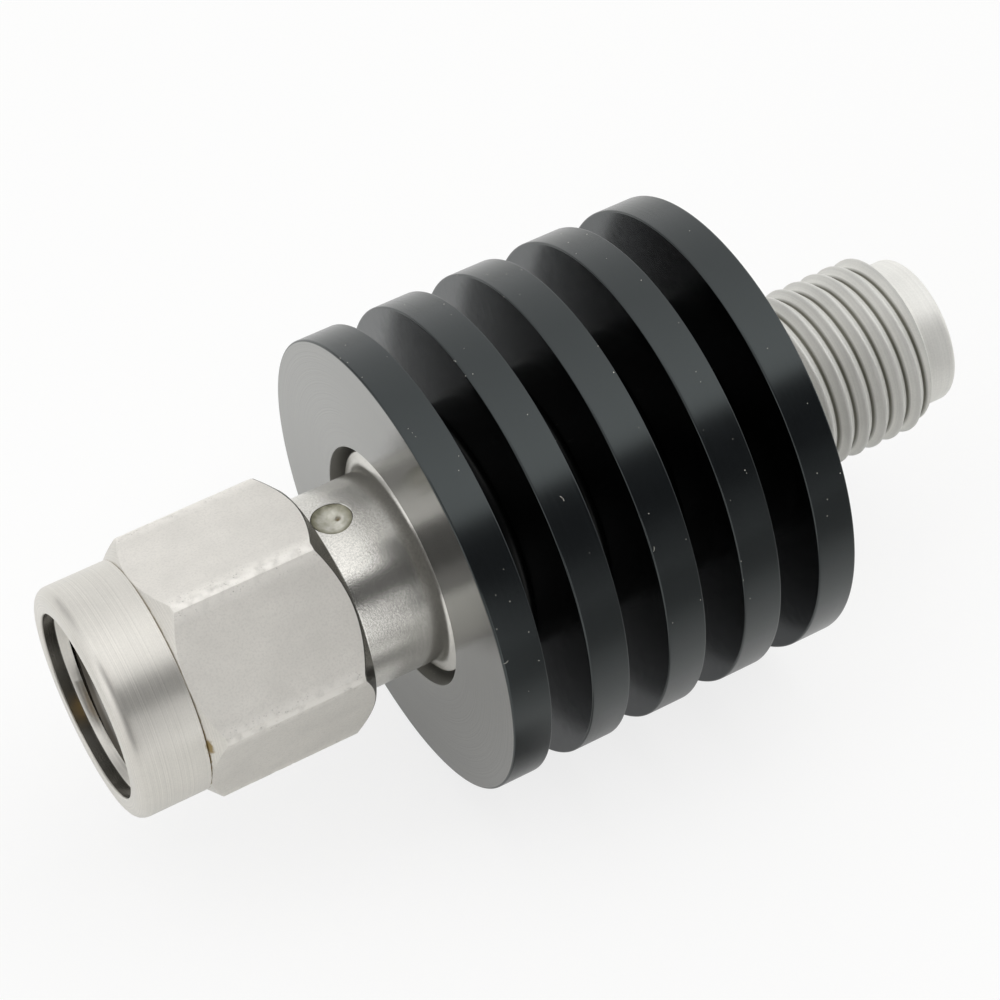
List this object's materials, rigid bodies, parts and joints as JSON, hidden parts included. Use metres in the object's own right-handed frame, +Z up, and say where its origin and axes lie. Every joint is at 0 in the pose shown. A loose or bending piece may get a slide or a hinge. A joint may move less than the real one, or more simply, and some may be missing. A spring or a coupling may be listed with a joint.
{
  "type": "coaxial rf attenuator",
  "caption": "Coaxial fixed attenuator: finned black heat sink between a plug with a hexagon coupling nut and a threaded jack.",
  "frame": {"origin": "under the middle of the part's length, on the surface that the fins rest on", "axes": "+X along the line's axis from the plug to the jack, +Z up, +Y to the left of that"},
  "size_m": [0.0318, 0.016, 0.016],
  "materials": {
    "black_anodised_aluminium": "turned, black anodised",
    "nut_stainless_steel": "turned and milled, passivated",
    "body_stainless_steel": "turned, passivated",
    "jack_stainless_steel": "turned, passivated",
    "spring_bronze": "drawn wire",
    "gilt_copper_alloy": "gold plated",
    "plain_brass": "turned",
    "silicone_rubber": "moulded",
    "ptfe": "turned",
    "epoxy_resin": "cured in place",
    "alumina_ceramic": "fired"
  },
  "bodies": {
    "line": {"heat_sink": "black_anodised_aluminium", "snap_ring": "spring_bronze", "gasket": "silicone_rubber", "plug_body": "body_stainless_steel", "plug_insulator": "ptfe", "plug_pin": "gilt_copper_alloy", "captivation_resin": "epoxy_resin", "jack_body": "jack_stainless_steel", "jack_insulator": "ptfe", "jack_contact": "gilt_copper_alloy", "attenuator_card": "alumina_ceramic", "upper_carrier": "plain_brass", "lower_carrier": "plain_brass"},
    "nut": {"coupling_nut": "nut_stainless_steel"}
  },
  "joints": [
    {"name": "nut_turn", "type": "hinge", "parent": "line", "child": "nut", "pos_m": [-0.0117, 0, 0.008], "axis": [1, 0, 0], "continuous": true}
  ]
}
